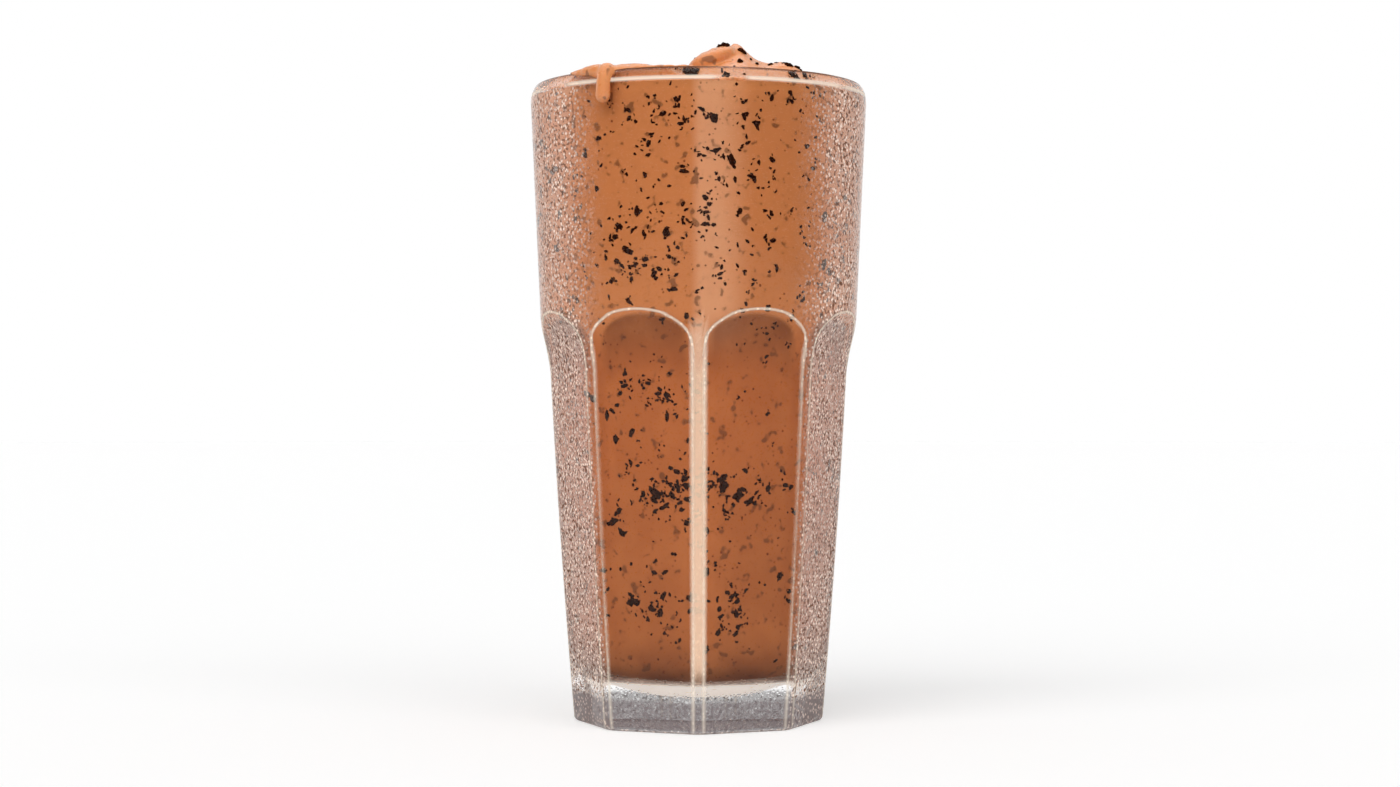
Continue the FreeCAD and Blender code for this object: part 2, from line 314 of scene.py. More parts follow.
def spaced(low, high, count):
    """Count values from low to just short of high."""
    return [mix(low, high, step / count) for step in range(count)]


def closed_mesh(name, rings, first_point, last_point):
    """A closed skin over rings of points, with a middle point at each end."""
    mesh = bpy.data.meshes.new(name)
    around = len(rings[0])
    points = [first_point]
    for ring in rings:
        points += ring
    points.append(last_point)
    faces = [(0, 1 + (k + 1) % around, 1 + k) for k in range(around)]
    for row in range(len(rings) - 1):
        base = 1 + row * around
        for k in range(around):
            after = (k + 1) % around
            faces.append((base + k, base + after, base + around + after, base + around + k))
    base = 1 + (len(rings) - 1) * around
    last = len(points) - 1
    faces += [(base + k, base + (k + 1) % around, last) for k in range(around)]
    mesh.from_pydata([tuple(p) for p in points], [], faces)
    mesh.update()
    return mesh


def make_outward(mesh):
    work = bmesh.new()
    work.from_mesh(mesh)
    bmesh.ops.recalc_face_normals(work, faces=work.faces)
    work.to_mesh(mesh)
    work.free()


def make_object(name, mesh, *materials):
    thing = bpy.data.objects.new(name, mesh)
    bpy.context.scene.collection.objects.link(thing)
    for material in materials:
        mesh.materials.append(material)
    for polygon in mesh.polygons:
        polygon.use_smooth = True
    return thing


def column_angles(z):
    """Angles of the mesh's columns, closer together on and beside the pillars."""
    half = pillar_half_angle(z)
    on_pillar = (0.0, 0.42, 0.75, 0.92, 1.0, 1.08)
    steps = [share * half for share in on_pillar]
    start = 1.25 * half
    count = 11
    for step in range(count + 1):
        steps.append(mix(start, HALF_SECTOR, (step / count) ** 1.15))
    mirrored = [SECTOR - step for step in reversed(steps[1:-1])]
    one_sector = steps + mirrored
    return [number * SECTOR + step for number in range(PANEL_COUNT) for step in one_sector]


def arched_rows():
    """Rows of heights that bend along the arches, each a function of the column."""
    down = (0.0, 0.16, 0.32, 0.46, 0.58, 0.68, 0.77, 0.845, 0.9, 0.94, 0.97, 0.988)
    below = [1.0 - share for share in down]
    above = [0.0, 0.012, 0.03, 0.06, 0.1, 0.155, 0.23, 0.33, 0.45, 0.6, 0.78, 1.0]
    rows = [lambda arch, share=share: mix(arch, ARCH_ROWS_FROM, share) for share in below]
    rows += [lambda arch, share=share: mix(arch, ARCH_ROWS_TO, share) for share in above]
    return rows


def glass_mesh():
    low = ARCH_ROWS_FROM
    high = ARCH_ROWS_TO
    rings = []
    for share in (0.35, 0.7, 0.93, 1.0):
        radius = PUNT_RADIUS * share
        height = PUNT_DEPTH * (1.0 - share * share)
        rings.append([from_front(radius, angle, height) for angle in column_angles(0.0)])
    heights = [FOOT_ROUND * (1.0 - math.cos(math.radians(turn))) for turn in (0, 25, 45, 62, 77, 90)]
    heights += spaced(2.0 * MM, low, 36)
    for z in heights:
        rings.append([from_front(outer_radius(angle, z), angle, z) for angle in column_angles(z)])
    for row in arched_rows():
        ring = []
        for column, flat_angle in enumerate(column_angles(low)):
            off_pillar = off_pillar_at(flat_angle)
            arch = arch_height(HALF_SECTOR - abs(off_pillar))
            z = row(arch)
            angle = column_angles(min(z, arch))[column]
            if z >= arch:
                angle = mix(angle, column_angles(high)[column], min(1.0, (z - arch) / (high - arch)))
            ring.append(from_front(outer_radius(angle, z), angle, z))
        rings.append(ring)
    angles = column_angles(high)
    for z in spaced(high, WIDEST, 16)[1:]:
        rings.append([from_front(outer_radius(angle, z), angle, z) for angle in angles])
    for radius, z in lip_profile(14):
        rings.append([from_front(radius, angle, z) for angle in angles])
    for z in spaced(LIP_INNER_TOP, FLOOR_CORNER_TOP, 24)[1:]:
        rings.append([from_front(cavity_radius(z), angle, z) for angle in angles])
    for radius, z in floor_profile(8, 8):
        rings.append([from_front(radius, angle, z) for angle in angles])
    mesh = closed_mesh("glass_skin", rings, Vector((0, 0, PUNT_DEPTH)), Vector((0, 0, FLOOR_HEIGHT)))
    make_outward(mesh)
    mark_points(mesh, "painted_edge_highlight", outside_edge_share)
    mark_points(mesh, "pillar_face", pillar_share)
    mark_points(mesh, "painted_lip_highlight", painted_lip_highlight_share)
    mark_points(mesh, "painted_rim_shade", painted_rim_shade_share)
    return mesh


def is_outside(point):
    return math.hypot(point.x, point.y) > cavity_radius(point.z) + 1.0 * MM


def outside_edge_share(point):
    """edge_share on the outer wall, 0 on the underside and inside."""
    if not is_outside(point) or point.z > EDGES_END:
        return 0.0
    return edge_share(front_angle(point), point.z)


def pillar_share(point):
    """1 on the faces of the pillars, easing out at their edges and ends."""
    if not is_outside(point):
        return 0.0
    off_pillar = off_pillar_at(front_angle(point))
    aside = abs(round_radius(point.z) * math.sin(off_pillar))
    inside = (PILLAR_WIDTH_TOP / 2.0 + 0.25 * MM - aside) / (0.3 * MM)
    foot = (point.z - PILLAR_SHINE_FROM) / (4.5 * MM)
    head = (PILLAR_SHINE_TO - point.z) / (2.0 * MM)
    return max(0.0, min(1.0, inside, foot, head))


def painted_lip_highlight_share(point):
    """1 on the outside at the level where the drink meets the lip, where a painted highlight line goes.
    """
    if not is_outside(point):
        return 0.0
    return max(0.0, 1.0 - abs(point.z - EDGE_LEVEL) / (0.8 * MM))


def painted_rim_shade_share(point):
    """1 on the crest of the lip, where a dark line of painted shade goes."""
    return clamped((point.z - GLASS_HEIGHT + 0.8 * MM) / (0.4 * MM))


def mark_points(mesh, name, share_at):
    """Stores a number for each point of the mesh, for its material to read."""
    marks = mesh.attributes.new(name, "FLOAT", "POINT")
    for index, vertex in enumerate(mesh.vertices):
        marks.data[index].value = share_at(vertex.co)


# ---- the milkshake ----

def drink_body_mesh():
    """The drink against the glass, from the floor up to just under its top."""
    angles = spaced(0.0, 2.0 * math.pi, 240)
    lid = EDGE_LEVEL - 0.6 * MM
    rings = []
    for radius, z in reversed(floor_profile(10, 10)):
        grown = radius + INTO_WALL * radius / CORNER_TOP_RADIUS
        sunk = z - INTO_WALL
        rings.append([from_front(grown, angle, sunk) for angle in angles])
    # closest together where the shade under the arches starts
    low = 84.0 * MM
    high = 106.0 * MM
    heights = spaced(FLOOR_CORNER_TOP, low, 26)[1:] + spaced(low, high, 44)
    for z in heights + spaced(high, lid, 20) + [lid]:
        radius = cavity_radius(z) + INTO_WALL
        rings.append([from_front(radius, angle, z) for angle in angles])
    rings.append([from_front(0.5 * cavity_radius(lid), angle, lid) for angle in angles])
    first = Vector((0, 0, FLOOR_HEIGHT - INTO_WALL))
    mesh = closed_mesh("drink_body", rings, first, Vector((0, 0, lid)))
    make_outward(mesh)
    return mesh


# soft heaps on the top: x, y, height, half width along x, half width along y (mm)
HEAPS = (
    (9.4, -5.0, 5.0, 7.6, 8.5),
    (9.2, -5.6, 2.9, 2.9, 3.6),
    (22.0, -4.0, 4.6, 5.6, 6.5),
    (-14.0, 12.0, 2.2, 9.0, 7.0),
    (6.0, 20.0, 2.4, 10.0, 6.0),
    (-22.0, -8.0, 1.6, 8.0, 7.0),
)
# rolled lobes left by pouring: middle x, y, z, half length, half width, half height (mm),
# turn about the upright axis and rise of the long axis (degrees)
LOBES = (
    (3.2, -8.6, 165.6, 6.6, 4.2, 2.6, 8.0, 25.0),
    (20.5, -6.5, 162.6, 6.0, 3.4, 2.6, -12.0, -8.0),
    (-10.0, 6.0, 160.8, 14.0, 4.5, 2.6, 28.0, 6.0),
    (2.0, 17.0, 160.6, 13.0, 4.6, 2.7, -12.0, 4.0),
    (15.0, 8.0, 161.6, 9.0, 4.4, 3.0, -48.0, -6.0),
    (-20.0, -9.0, 158.6, 9.0, 5.0, 2.6, -38.0, 0.0),
)


TOP_RINGS = 84                  # rings of points across the shaped top
TOP_VOXEL = 0.42 * MM           # fineness of the skin over the top


def heap(x, y, centre_x, centre_y, height, half_x, half_y):
    across = (x - centre_x) / half_x
    along = (y - centre_y) / half_y
    return height * math.exp(-across ** 2 - along ** 2)


def spill_heap(x, y):
    """The drink stands above the lip along the stretch where it ran over."""
    angle = math.degrees(math.atan2(x, -y))
    inward = (LIP_INNER_RADIUS / MM - math.hypot(x, y)) / 4.2
    across = (angle + 29.0) / 19.0
    return 4.0 * math.exp(-across ** 4 - max(0.0, inward) ** 2)


def top_height(x, y):
    """Height of the drink's top, in millimetres like its arguments."""
    radius = math.hypot(x, y)
    share = min(radius / (LIP_INNER_RADIUS / MM), 1.0)
    height = EDGE_LEVEL / MM + DOME_RISE / MM * (1.0 - share ** 2)
    fold = math.sin(2.0 * math.pi * radius / 13.0 - math.atan2(y, x) + 0.8)
    height += 0.6 * fold * share * (1.0 - share ** 4)
    for centre_x, centre_y, rise, half_x, half_y in HEAPS:
        height += heap(x, y, centre_x, centre_y, rise, half_x, half_y)
    spot = Vector((x * 0.16, y * 0.16, 3.1))
    height += 0.5 * noise.noise(spot) * (1.0 - share ** 6)
    return height + spill_heap(x, y)


def top_cap_mesh():
    """The shaped top as a closed plug that sits in the mouth of the glass."""
    angles = spaced(0.0, 2.0 * math.pi, 300)
    base = EDGE_LEVEL - 3.6 * MM
    rings = []
    under = cavity_radius(base) - 0.35 * MM
    rings.append([from_front(under * 0.5, angle, base) for angle in angles])
    rings.append([from_front(under, angle, base) for angle in angles])
    wall_top = EDGE_LEVEL - 0.7 * MM
    beside_wall = cavity_radius(wall_top) - 0.3 * MM
    rings.append([from_front(beside_wall, angle, wall_top) for angle in angles])
    edge = (LIP_INNER_RADIUS + INTO_WALL) / MM
    for step in range(TOP_RINGS):
        radius = edge * (1.0 - (step / TOP_RINGS))
        ring = []
        for angle in angles:
            point = from_front(radius, angle, 0.0)
            ring.append(Vector((point.x * MM, point.y * MM, top_height(point.x, point.y) * MM)))
        rings.append(ring)
    middle = Vector((0, 0, top_height(0.0, 0.0) * MM))
    mesh = closed_mesh("top_cap", rings, Vector((0, 0, base)), middle)
    make_outward(mesh)
    return mesh


def add_ball(work, centre, radii, turn=0.0, rise=0.0, fine=2):
    """A squashed ball in millimetres, its long axis turned and raised by degrees."""
    place = Matrix.Translation(Vector(centre) * MM)
    place = place @ Matrix.Rotation(math.radians(turn), 4, "Z")
    place = place @ Matrix.Rotation(math.radians(-rise), 4, "Y")
    place = place @ Matrix.Diagonal((radii[0] * MM, radii[1] * MM, radii[2] * MM, 1.0))
    bmesh.ops.create_icosphere(work, subdivisions=fine, radius=1.0, matrix=place)


def outer_profile_radius(z):
    """Radius of the outer wall near the lip, in millimetres from millimetres."""
    if z <= WIDEST / MM:
        return upper_radius(z * MM) / MM
    points = lip_profile(24)[:25]
    for (r0, z0), (r1, z1) in zip(points, points[1:]):
        if z0 / MM <= z <= z1 / MM:
            return mix(r0, r1, (z - z0 / MM) / (z1 / MM - z0 / MM)) / MM
    return CREST_OUT / MM


def add_spill(work):
    """The bead along the lip: thick over the drip, thin and low towards the middle."""
    crest = GLASS_HEIGHT / MM
    ring = (CREST_IN + CREST_OUT) / 2.0 / MM
    start = -49.0
    thickest = -36.0
    for step in range(97):
        angle = start + step * 0.5
        if angle < thickest:
            share = (angle - start) / (thickest - start)
            half = mix(0.5, 2.1, math.sin(share * math.pi / 2.0))
            out = mix(0.9, 0.2, share)
        else:
            share = min(1.0, (angle - thickest) / 35.0)
            half = mix(2.1, 0.45, share ** 0.55)
            out = mix(0.2, -0.7, min(1.0, share * 3.0))
        height = crest - half * mix(0.42, 0.1, min(1.0, share)) + 0.12
        point = from_front(ring + out, math.radians(angle), height)
        wave = 0.12 * math.sin(step * 0.9) + 0.08 * math.sin(step * 0.37)
        add_ball(work, point, (half + wave, half + wave, half * 0.82))


def add_drip(work):
    """The drip from the bead down the outside, with a heavy round end."""
    crest = GLASS_HEIGHT / MM
    low = crest + 1.5 - DRIP_LENGTH / MM
    for step in range(25):
        share = step / 24.0
        half = 1.85 + 0.2 * share ** 2 + 2.4 * max(0.0, 0.3 - share)
        z = mix(crest - 0.9, low + 2.4, share)
        reach = 0.35 + 0.25 * share
        radius = outer_profile_radius(z) - half + 2.05 * min(1.0, reach + 0.5)
        point = from_front(radius, math.radians(DRIP_ANGLE + 0.25 * math.sin(share * 3.0)), z)
        add_ball(work, point, (half, half, half))


def keep_off_glass(mesh):
    """Points that fell inside the glass go back to its surface, a hair inside it."""
    profile = [(upper_radius(z), z) for z in spaced(WIDEST - 12.0 * MM, WIDEST, 24)]
    profile += lip_profile(16)
    profile += [(cavity_radius(z), z) for z in spaced(LIP_INNER_TOP, LIP_INNER_TOP - 10.0 * MM, 20)[1:]]
    hair = 0.12 * MM
    for vertex in mesh.vertices:
        z = vertex.co.z
        radius = math.hypot(vertex.co.x, vertex.co.y)
        if z > GLASS_HEIGHT or radius < cavity_radius(z) + hair:
            continue
        best = None
        for (r0, z0), (r1, z1) in zip(profile, profile[1:]):
            run_r = r1 - r0
            run_z = z1 - z0
            length = math.hypot(run_r, run_z)
            if length < 1e-7:
                continue
            along = ((radius - r0) * run_r + (z - z0) * run_z) / (length * length)
            along = clamped(along)
            near_r = r0 + run_r * along
            near_z = z0 + run_z * along
            away = math.hypot(radius - near_r, z - near_z)
            if best is None or away < best[0]:
                # positive when the point lies on the air's side of the outline
                side = run_z * (radius - near_r) - run_r * (z - near_z)
                best = (away, side, near_r, near_z, run_z / length, -run_r / length)
        away, side, near_r, near_z, normal_r, normal_z = best
        if side < 0.0 and away > hair:
            new_radius = near_r - normal_r * hair
            vertex.co.x *= new_radius / radius
            vertex.co.y *= new_radius / radius
            vertex.co.z = near_z - normal_z * hair


def roughen(mesh, above):
    """Fine creamy unevenness on the open top."""
    normals = [vertex.normal.copy() for vertex in mesh.vertices]
    for vertex, normal in zip(mesh.vertices, normals):
        share = clamped((vertex.co.z - above) / (3.0 * MM))
        if share <= 0.0:
            continue
        spot = vertex.co / MM
        lumps = 0.16 * noise.noise(spot * 0.45) + 0.07 * noise.noise(spot * 1.3)
        vertex.co += normal * lumps * MM * share


def remeshed(mesh, voxel, smoothing):
    """One skin around everything in the mesh."""
    thing = bpy.data.objects.new("work", mesh)
    bpy.context.scene.collection.objects.link(thing)
    remesh = thing.modifiers.new("skin", "REMESH")
    remesh.mode = "VOXEL"
    remesh.voxel_size = voxel
    smooth = thing.modifiers.new("soften", "SMOOTH")
    smooth.factor = 0.5
    smooth.iterations = smoothing
    ready = thing.evaluated_get(bpy.context.evaluated_depsgraph_get())
    result = bpy.data.meshes.new_from_object(ready)
    bpy.data.objects.remove(thing)
    return result


def drink_top_mesh():
    work = bmesh.new()
    work.from_mesh(top_cap_mesh())
    for x, y, z, length, width, height, turn, rise in LOBES:
        add_ball(work, (x, y, z), (length, width, height), turn, rise, fine=4)
    add_spill(work)
    add_drip(work)
    joined = bpy.data.meshes.new("top_parts")
    work.to_mesh(joined)
    work.free()
    top = remeshed(joined, TOP_VOXEL, 3)
    roughen(top, EDGE_LEVEL + 0.4 * MM)
    keep_off_glass(top)
    top.update()
    return top


def joined_mesh(name, first, second):
    """Both meshes in one, the second with the second material."""
    work = bmesh.new()
    work.from_mesh(first)
    count = len(work.faces)
    work.from_mesh(second)
    work.faces.ensure_lookup_table()
    for face in work.faces[count:]:
        face.material_index = 1
    mesh = bpy.data.meshes.new(name)
    work.to_mesh(mesh)
    work.free()
    mark_points(mesh, "under_arch", under_arch_share)
    return mesh


def under_arch_share(point):
    """1 just under the arch of a panel, fading out below it."""
    if not ARCH_SHADE_FROM < point.z < ARCH_SHADE_TO:
        return 0.0
    off_pillar = off_pillar_at(front_angle(point))
    below = (arch_height(HALF_SECTOR - abs(off_pillar)) - point.z) / MM
    beside = clamped((abs(off_pillar) - 0.02) / 0.09)
    fading = max(0.0, 1.0 - max(0.0, below) / 15.0)
    return clamped((below + 0.6) / 1.2) * fading * beside


# ---- crumbs ----

def crumb_shape(seed, fine):
    """Points and faces of one broken crumb of about unit size."""
    dice = random.Random(seed)
    work = bmesh.new()
    bmesh.ops.create_icosphere(work, subdivisions=fine, radius=0.5)
    shift = Vector((dice.uniform(0, 50), dice.uniform(0, 50), dice.uniform(0, 50)))
    for vertex in work.verts:
        rough = 0.5 * noise.noise(vertex.co * 2.6 + shift) + 0.34 * noise.noise(vertex.co * 6.0 + shift)
        rough += 0.16 * noise.noise(vertex.co * 13.0 + shift)
        vertex.co *= 1.0 + 0.95 * rough
    points = [vertex.co.copy() for vertex in work.verts]
    faces = [[vertex.index for vertex in face.verts] for face in work.faces]
    work.free()
    return points, faces


SMALL_CRUMBS = [crumb_shape(seed, 2) for seed in range(24)]
LARGE_CRUMBS = [crumb_shape(seed, 3) for seed in range(100, 124)]
LARGE_FROM = 0.85 * MM


def add_crumb(points, faces, dice, place, outward, length, width, depth, turn):
    """One crumb at a place, lying flat against the outward direction."""
    shape_points, shape_faces = dice.choice(LARGE_CRUMBS if width > LARGE_FROM else SMALL_CRUMBS)
    up = Vector((0, 0, 1)) if abs(outward.z) < 0.9 else Vector((0, 1, 0))
    side = up.cross(outward).normalized()
    along = outward.cross(side).normalized()
    long_way = side * math.cos(turn) + along * math.sin(turn)
    short_way = outward.cross(long_way)
    base = len(points)
    for point in shape_points:
        points.append(place + long_way * point.x * length + short_way * point.y * width
                      + outward * point.z * depth)
    for face in shape_faces:
        faces.append([base + index for index in face])


# where crumbs gathered at the wall: degrees from the front, height (mm), spread of both, count
CLUSTERS = (
    (-15.0, 118.0, 11.0, 5.0, 40),
    (-24.0, 128.0, 9.0, 9.0, 26),
    (10.0, 131.0, 10.0, 9.0, 22),
    (-18.0, 84.0, 8.0, 4.0, 34),
    (-10.0, 57.5, 13.0, 4.0, 74),
    (14.0, 58.0, 12.0, 4.0, 46),
    (3.0, 62.0, 6.0, 3.0, 16),
    (-16.0, 33.0, 9.0, 3.5, 36),
    (14.0, 31.0, 8.0, 4.5, 28),
    (22.0, 103.0, 8.0, 8.0, 14),
    (-8.0, 148.0, 8.0, 4.0, 18),
    (7.0, 140.0, 6.0, 4.0, 16),
    (75.0, 120.0, 12.0, 9.0, 30),
    (100.0, 60.0, 14.0, 6.0, 44),
    (128.0, 90.0, 12.0, 6.0, 30),
    (155.0, 132.0, 14.0, 9.0, 34),
    (180.0, 52.0, 16.0, 5.0, 50),
    (205.0, 105.0, 12.0, 7.0, 26),
    (235.0, 64.0, 13.0, 5.0, 40),
    (262.0, 124.0, 12.0, 9.0, 34),
    (290.0, 84.0, 10.0, 5.0, 26),
    (215.0, 30.0, 14.0, 4.0, 30),
    (120.0, 32.0, 12.0, 4.0, 26),
)


# crumbs scattered all round: how many, from and up to which height (mm)
SCATTERED = ((560, 100.0, 156.0), (340, 17.0, 100.0))
CRUMBS_FROM = 17.0              # crumbs gathered outside these heights are left out (mm)
CRUMBS_TO = 156.2


def wall_crumb_places(dice):
    """Angle and height of each crumb against the wall."""
    places = []
    for angle, height, angle_spread, height_spread, count in CLUSTERS:
        for _ in range(count):
            places.append((dice.gauss(angle, angle_spread), dice.gauss(height, height_spread)))
    for count, lowest, highest in SCATTERED:
        for _ in range(count):
            places.append((dice.uniform(0.0, 360.0), dice.uniform(lowest, highest)))
    return places


def wall_crumb_meshes():
    """The small and the large crumbs against the wall, as two meshes."""
    dice = random.Random(41)
    kinds = (([], []), ([], []))
    lean = Vector((0.0, 0.0, -CAVITY_TAPER))
    for angle, height in wall_crumb_places(dice):
        if not CRUMBS_FROM < height < CRUMBS_TO:
            continue
        group = 1 if dice.random() < 0.5 else dice.randint(2, 4)
        for _ in range(group):
            size = min(2.2, 0.4 * math.exp(abs(dice.gauss(0.0, 0.62)))) * MM
            turn_angle = math.radians(angle + dice.gauss(0.0, 1.1) * (group > 1))
            z = (height + dice.gauss(0.0, 0.7) * (group > 1)) * MM
            z = min(max(z, (CRUMBS_FROM - 0.5) * MM), (CRUMBS_TO + 0.4) * MM)
            outward = (from_front(1.0, turn_angle, 0.0) + lean).normalized()
            length = size * dice.uniform(1.0, 1.75)
            width = size * dice.uniform(0.65, 1.0)
            depth = size * dice.uniform(0.5, 0.8)
            sunk = depth * max(0.0, dice.uniform(-0.5, 0.28))
            place = from_front(cavity_radius(z) + INTO_WALL - sunk, turn_angle, z)
            points, faces = kinds[width > LARGE_FROM]
            turn = dice.uniform(0.0, math.pi)
            add_crumb(points, faces, dice, place, outward, length, width, depth, turn)
    meshes = [loose_mesh("wall_crumbs", points, faces) for points, faces in kinds]
    for mesh in meshes:
        press_against_wall(mesh)
    return meshes


def loose_mesh(name, points, faces):
    mesh = bpy.data.meshes.new(name)
    mesh.from_pydata([tuple(p) for p in points], [], faces)
    mesh.update()
    return mesh


def press_against_wall(mesh):
    """No crumb reaches further into the glass than the named amount."""
    for vertex in mesh.vertices:
        radius = math.hypot(vertex.co.x, vertex.co.y)
        limit = cavity_radius(vertex.co.z) + INTO_WALL + CRUMB_INTO_WALL
        if radius > limit:
            vertex.co.x *= limit / radius
            vertex.co.y *= limit / radius
    mesh.update()


# crumbs placed one by one on the top: x, y, length, width (mm) and turn (degrees)
TOP_CRUMBS = (
    (6.9, -8.6, 1.9, 0.8, 10.0),
    (18.0, -8.0, 1.3, 0.9, 30.0),
    (19.5, -6.5, 1.1, 0.8, -20.0),
    (22.5, -8.5, 2.6, 1.3, -35.0),
    (24.6, -7.5, 2.2, 1.4, -20.0),
    (26.2, -9.0, 2.4, 1.2, -40.0),
    (25.4, -5.5, 1.4, 1.0, 15.0),
    (-27.5, -27.0, 1.7, 1.0, 20.0),
    (-1.8, -37.6, 3.8, 1.6, 5.0),
    (6.4, -37.4, 2.0, 1.5, 40.0),
    (-12.0, -28.0, 2.2, 1.4, 70.0),
    (10.0, -24.0, 1.8, 1.2, 15.0),
)


def top_crumbs_mesh(top_tree):
    dice = random.Random(7)
    points, faces = [], []
    spots = list(TOP_CRUMBS)
    for _ in range(190):
        radius = 37.5 * math.sqrt(dice.random())
        angle = dice.uniform(0.0, 2.0 * math.pi)
        size = min(2.4, 0.45 * math.exp(abs(dice.gauss(0.0, 0.7))))
        spots.append((radius * math.sin(angle), -radius * math.cos(angle),
                      size * dice.uniform(1.0, 1.9), size, dice.uniform(0.0, 180.0)))
    for x, y, length, width, turn in spots:
        start = Vector((x * MM, y * MM, 0.2))
        hit, normal, _, _ = top_tree.ray_cast(start, Vector((0, 0, -1)))
        if hit is None:
            continue
        depth = width * 0.75 * MM
        place = hit + normal * depth * dice.uniform(-0.12, 0.2)
        size = (length * MM, width * MM, depth)
        add_crumb(points, faces, dice, place, normal, *size, math.radians(turn))
    return loose_mesh("top_crumbs", points, faces)


# ---- materials ----

BLACK = (0.0, 0.0, 0.0)
TABLE_WHITE = (0.81, 0.81, 0.81)
TABLE_LIFT = (0.3, 0.3, 0.3)    # light added where the table is seen, mirrored or looked through to
MIST_PAINTED_SHEEN = (1.0, 0.80, 0.69)       # painted sheen: lit side of the fine drops, as a flat pale colour
# painted shade: the dark side of the fine drops, also used for the dark line on the lip's crest
DROP_SHADE = (0.14, 0.05, 0.024)
WET_GLOSS = (0.4, 0.36, 0.33)   # a misted wall mirrors less than a dry one
MIRROR = (1.0, 0.84, 0.72)      # the drink's face, seen along the wall
BASE_PAINTED_SHADE = (0.21, 0.175, 0.18)
BASE_FROM = 8.6 * MM            # painted shade: the solid foot turns grey below here
BASE_FULL = 7.0 * MM
PILLAR_GLOSS = (1.0, 0.71, 0.51)
CREAM_PAINTED_HIGHLIGHT = (0.98, 0.86, 0.72)      # painted highlight along the pressed edges, and the line round the lip where the drink meets it
MIST_TOP = 158.5 * MM           # the mist ends below the lip
MIST_FULL = 155.5 * MM


def plug(tree, value, socket):
    if isinstance(value, Term):
        tree.links.new(value.socket, socket)
    else:
        socket.default_value = value


class Term:
    """A number in a material, ready for sums."""

    def __init__(self, tree, socket):
        self.tree = tree
        self.socket = socket

    def sum(self, operation, *values):
        node = self.tree.nodes.new("ShaderNodeMath")
        node.operation = operation
        for value, socket in zip(values, node.inputs):
            plug(self.tree, value, socket)
        return Term(self.tree, node.outputs[0])

    def __add__(self, other):
        return self.sum("ADD", self, other)

    def __radd__(self, other):
        return self.sum("ADD", other, self)

    def __sub__(self, other):
        return self.sum("SUBTRACT", self, other)

    def __rsub__(self, other):
        return self.sum("SUBTRACT", other, self)

    def __mul__(self, other):
        return self.sum("MULTIPLY", self, other)

    def __rmul__(self, other):
        return self.sum("MULTIPLY", other, self)

    def at_least(self, other):
        return self.sum("MAXIMUM", self, other)

    def at_most(self, other):
        return self.sum("MINIMUM", self, other)


class Recipe:
    """Builds the nodes of one material or of the world."""

    def __init__(self, owner):
        owner.use_nodes = True
        self.owner = owner
        self.tree = owner.node_tree
        self.tree.nodes.clear()

    def node(self, kind, settings=None, values=None, output=0):
        made = self.tree.nodes.new("ShaderNode" + kind)
        for name, setting in (settings or {}).items():
            setattr(made, name, setting)
        for name, value in (values or {}).items():
            plug(self.tree, value, made.inputs[name])
        return Term(self.tree, made.outputs[output]) if made.outputs else made

    def place(self):
        return self.node("TexCoord", output="Object")

    def mark(self, name):
        """A number stored in the mesh by mark_points."""
        return self.node("Attribute", {"attribute_name": name}, output="Fac")

    def axes(self, vector):
        split = self.node("SeparateXYZ", values={"Vector": vector}).socket.node
        return [Term(self.tree, socket) for socket in split.outputs]

    def smooth(self, value, low, high):
        """0 at low, 1 at high, eased in between. Low may be the greater."""
        settings = {"interpolation_type": "SMOOTHSTEP"}
        values = {"Value": value, "From Min": low, "From Max": high}
        return self.node("MapRange", settings, values)

    def noise(self, vector, scale, detail=2.0, roughness=0.5):
        values = {"Vector": vector, "Scale": scale, "Detail": detail, "Roughness": roughness}
        return self.node("TexNoise", values=values)

    def cells(self, vector, scale):
        values = {"Vector": vector, "Scale": scale}
        return self.node("TexVoronoi", values=values, output="Distance")

    def ray(self, kind):
        return self.node("LightPath", output=kind)

    def slant(self):
        """0 where the surface is seen straight on, towards 1 at a low angle."""
        return self.node("LayerWeight", values={"Blend": 0.5}, output="Facing")

    def dull(self, tint):
        return self.node("BsdfDiffuse", values={"Color": (*tint, 1.0)})

    def gloss(self, tint, roughness):
        return self.node("BsdfAnisotropic", values={"Color": (*tint, 1.0), "Roughness": roughness})

    def blend(self, share, first, second):
        """Colour between two colours."""
        made = self.tree.nodes.new("ShaderNodeMix")
        made.data_type = "RGBA"
        plug(self.tree, share, made.inputs[0])
        for value, socket in ((first, made.inputs[6]), (second, made.inputs[7])):
            plug(self.tree, value if isinstance(value, Term) else (*value, 1.0), socket)
        return Term(self.tree, made.outputs[2])

    def bump(self, height, distance, strength=1.0):
        return self.node("Bump", values={"Height": height, "Distance": distance, "Strength": strength})

    def mixed(self, share, first, second):
        made = self.tree.nodes.new("ShaderNodeMixShader")
        plug(self.tree, share, made.inputs[0])
        plug(self.tree, first, made.inputs[1])
        plug(self.tree, second, made.inputs[2])
        return Term(self.tree, made.outputs[0])

    def finish(self, shader, kind="OutputMaterial"):
        self.node(kind, values={"Surface": shader})
        return self.owner


def new_recipe(name):
    return Recipe(bpy.data.materials.new(name))


def colour(red, green, blue):
    """A colour as it looks on screen, 0 to 255, turned into light."""
    def light(value):
        share = value / 255.0
        return share / 12.92 if share <= 0.04045 else ((share + 0.055) / 1.055) ** 2.4
    return (light(red), light(green), light(blue))
